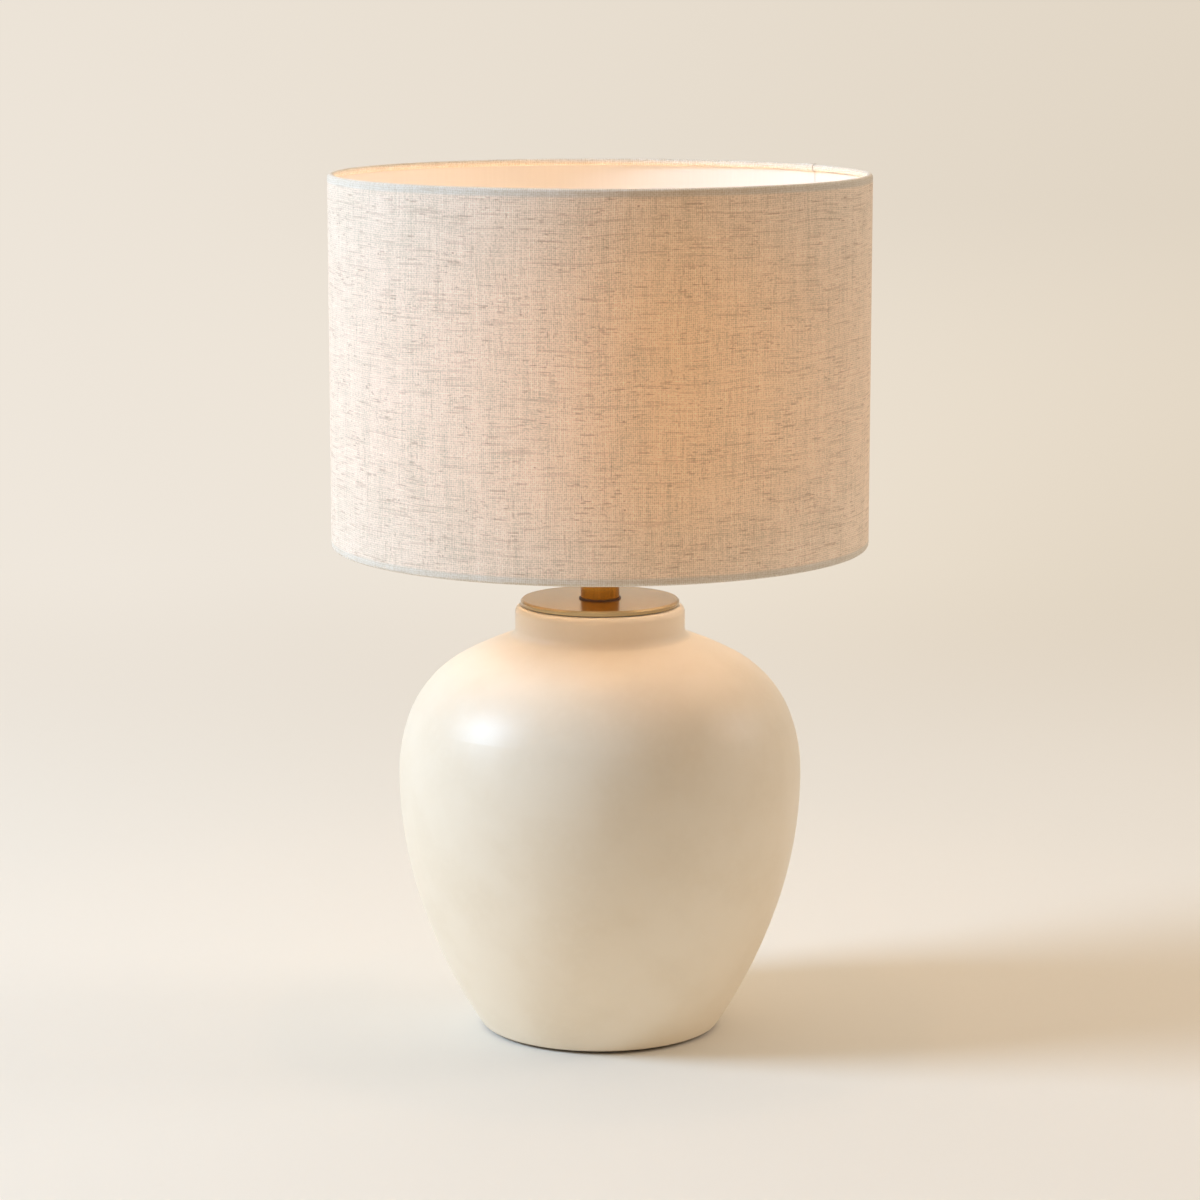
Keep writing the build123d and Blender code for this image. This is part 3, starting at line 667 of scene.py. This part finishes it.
THREAD_STEPS_A_TURN = 48
THREAD_RUN_OUT = 12
THREAD_SMOOTH_ANGLE = 50
SKIRT_THREAD_HEIGHT = 0.24 * MM
SKIRT_THREAD_PITCH = 2.5 * MM
SKIRT_THREAD_WIDTH = 1.8 * MM
SKIRT_THREAD_START = 1.5 * MM
SKIRT_THREAD_END = 3.0 * MM
BULB_THREAD_HEIGHT = 0.22 * MM
BULB_THREAD_PITCH = 3.62 * MM
BULB_THREAD_WIDTH = 2.6 * MM
BULB_THREAD_MARGIN = 2.6 * MM


def thread_ridge(name, body, slot, root, crest, low, high, pitch, width):
    """A screw thread's ridge, wound up from low to high, between its root and crest radii."""
    turns = (high - low) / pitch
    steps = round(turns * THREAD_STEPS_A_TURN)
    profile = ((root, -width / 2), (crest, -width / 6), (crest, width / 6), (root, width / 2))
    count = len(profile)
    points = []
    for step in range(steps + 1):
        share = step / steps
        angle = 2 * math.pi * turns * share
        grown = min(1.0, step / THREAD_RUN_OUT, (steps - step) / THREAD_RUN_OUT)
        for r, rise in profile:
            reach = root + (r - root) * grown
            height = low + (high - low) * share + rise
            points.append((reach * math.cos(angle), reach * math.sin(angle), height))
    faces = []
    for step in range(steps):
        faces += strip(step * count, (step + 1) * count, count)
    faces.append(tuple(reversed(range(count))))
    faces.append(tuple(steps * count + j for j in range(count)))
    piece(name, points, faces, body, slot, THREAD_SMOOTH_ANGLE)


def make_threads():
    """Threads of the lampholder's skirt and of the bulb's cap."""
    skirt_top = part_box("holder_skirt")[1].z
    clamp_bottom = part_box("shade_clamp_ring")[0].z
    holder_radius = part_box("holder_cap")[1].x
    thread_ridge(
        "skirt_thread", "root", "holder_plastic",
        holder_radius - SUNK, holder_radius + SKIRT_THREAD_HEIGHT,
        clamp_bottom + SKIRT_THREAD_START, skirt_top - SKIRT_THREAD_END,
        SKIRT_THREAD_PITCH, SKIRT_THREAD_WIDTH,
    )
    cap_low, cap_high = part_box("bulb_screw_cap")
    thread_ridge(
        "bulb_thread", "bulb", "bulb_metal",
        cap_high.x - SUNK, cap_high.x + BULB_THREAD_HEIGHT,
        cap_low.z + BULB_THREAD_MARGIN, cap_high.z - BULB_THREAD_MARGIN,
        BULB_THREAD_PITCH, BULB_THREAD_WIDTH,
    )


# ---------------------------------------------------------------- stage
def sideways(t, x, y):
    """How far a direction points to the right, from -1 to 1."""
    return t.math("DIVIDE", x, t.math("MAXIMUM", t.flat_length(x, y), NEARLY_NOTHING))


def backdrop_color(t, side):
    """The pale background, with painted shade: a little darker towards the right, away from the key
    softbox.
    """
    turned = t.ramp(side, -BACKDROP_TURN, BACKDROP_TURN)
    return t.mix(turned, BACKDROP_LIT_LEFT_COLOR, BACKDROP_SHADED_RIGHT_COLOR)


def seen(t):
    """1 for rays that show the background: camera, glossy and transmission rays."""
    path = t.node("ShaderNodeLightPath").outputs
    direct = t.math("MAXIMUM", path["Is Camera Ray"], path["Is Transmission Ray"])
    return t.math("MAXIMUM", direct, path["Is Glossy Ray"])


def make_floor():
    """A wide pale floor, which turns into the background away from the lamp."""
    mesh = bpy.data.meshes.new("studio_floor")
    rim = []
    for corner in range(FLOOR_SIDES):
        angle = 2 * math.pi * corner / FLOOR_SIDES
        rim.append((FLOOR_RADIUS * math.cos(angle), FLOOR_RADIUS * math.sin(angle), 0))
    mesh.from_pydata(rim, [], [tuple(range(FLOOR_SIDES))])
    floor = bpy.data.objects.new("studio_floor", mesh)
    bpy.context.scene.collection.objects.link(floor)
    made, t = material("studio_paper")
    x, y, z = t.split(t.node("ShaderNodeTexCoord").outputs["Object"])
    across = t.flat_length(x, y)
    side = sideways(t, x, y)
    shown = seen(t)
    away = t.flat_length(t.math("SUBTRACT", x, TABLE_MIDDLE[0]), t.math("SUBTRACT", y, TABLE_MIDDLE[1]))
    dark = t.math("MULTIPLY", t.ramp(away, *TABLE_EDGE), t.math("SUBTRACT", 1.0, shown))
    near = t.node("ShaderNodeBsdfDiffuse", {"Color": t.mix(dark, FLOOR_COLOR, FLOOR_DARK_COLOR)})
    # Painted light: the background is made brighter behind the lamp.
    behind = t.math("MULTIPLY", t.ramp(side, *LIFT_START), t.ramp(side, *LIFT_END, 1.0, LIFT_END_SHARE))
    reached = t.math("MULTIPLY", behind, t.ramp(across, *LIFT_REACH, 1.0, LIFT_REACH_SHARE))
    painted_lift = t.math("MULTIPLY_ADD", reached, PAINTED_LIFT_STRENGTH, 1.0)
    far = t.node("ShaderNodeEmission", {"Color": backdrop_color(t, side), "Strength": painted_lift})
    factor = t.math("MULTIPLY", t.ramp(across, FLOOR_NEAR, FLOOR_FAR), shown)
    both = t.node("ShaderNodeMixShader", {0: factor, 1: near.outputs[0], 2: far.outputs[0]})
    t.node("ShaderNodeOutputMaterial", {"Surface": both.outputs[0]})
    mesh.materials.append(made)


def make_world():
    """The room's light, and the background for rays that show it."""
    world = bpy.data.worlds.new("studio")
    bpy.context.scene.world = world
    t = Tree(world)
    x, y, z = t.split(t.node("ShaderNodeTexCoord").outputs["Generated"])
    lean = t.math("ADD", t.math("MULTIPLY", y, ROOM_BACK_SHARE), t.math("MULTIPLY", z, ROOM_UP_SHARE))
    room = t.mix(t.ramp(lean, *ROOM_LEAN), ROOM_FRONT_COLOR, ROOM_BACK_COLOR)
    light = t.node("ShaderNodeBackground", {"Color": room, "Strength": 1.0})
    pale = backdrop_color(t, sideways(t, x, y))
    shown = t.node("ShaderNodeBackground", {"Color": pale, "Strength": 1.0})
    both = t.node("ShaderNodeMixShader", {0: seen(t), 1: light.outputs[0], 2: shown.outputs[0]})
    t.node("ShaderNodeOutputWorld", {"Surface": both.outputs[0]})


def add_lamp(name, kind, power, color, place, towards=None, glossy=True, **settings):
    """Add a light that the camera doesn't see; towards points from what it lights to the light."""
    data = bpy.data.lights.new(name, kind)
    data.energy = power
    data.color = color
    for key, value in settings.items():
        setattr(data, key, value)
    lamp = bpy.data.objects.new(name, data)
    lamp.location = place
    if towards is not None:
        lamp.rotation_euler = towards.to_track_quat("Z", "Y").to_euler()
    lamp.visible_camera = False
    lamp.visible_glossy = glossy
    bpy.context.scene.collection.objects.link(lamp)
    return lamp


def make_lights():
    """The softboxes, the warm spot, the low card, and the bulb's light, which moves with the bulb."""
    key_place = SOFTBOX_AIM + KEY_TOWARDS * KEY_DISTANCE
    add_lamp(
        "key_softbox", "AREA", KEY_POWER, KEY_COLOR, key_place, KEY_TOWARDS,
        shape="DISK", size=KEY_SIZE,
    )
    shine = add_lamp(
        "bulb_light", "POINT", BULB_LIGHT_POWER, BULB_LIGHT_COLOR, GLOBE_CENTRE,
        shadow_soft_size=GLOBE_RADIUS + BULB_LIGHT_GAP, use_soft_falloff=False,
    )
    add_lamp(
        "warm_spot", "SPOT", SPOT_POWER, SPOT_COLOR, SPOT_PLACE, SPOT_PLACE - SPOT_AIM, glossy=False,
        spot_size=SPOT_ANGLE, spot_blend=1.0, shadow_soft_size=SPOT_RADIUS,
    )
    add_lamp(
        "floor_card", "AREA", CARD_POWER, CARD_COLOR, CARD_PLACE, CARD_PLACE - CARD_AIM, glossy=False,
        shape="RECTANGLE", size=CARD_WIDTH, size_y=CARD_HEIGHT, spread=CARD_SPREAD,
    )
    rim_place = SOFTBOX_AIM + RIM_TOWARDS * RIM_DISTANCE
    add_lamp(
        "rim_softbox", "AREA", RIM_POWER, RIM_COLOR, rim_place, RIM_TOWARDS,
        shape="DISK", size=RIM_SIZE,
    )
    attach(shine, "bulb")


def make_camera():
    data = bpy.data.cameras.new("camera")
    data.lens = CAMERA_LENS
    camera = bpy.data.objects.new("camera", data)
    camera.location = CAMERA_PLACE
    camera.rotation_euler = (CAMERA_PITCH, 0, 0)
    bpy.context.scene.collection.objects.link(camera)
    bpy.context.scene.camera = camera
    bpy.context.scene.view_settings.view_transform = "Standard"


make_camera()
dress_frame()
make_linen()
make_liner_lap()
make_threads()
make_floor()
make_world()
make_lights()
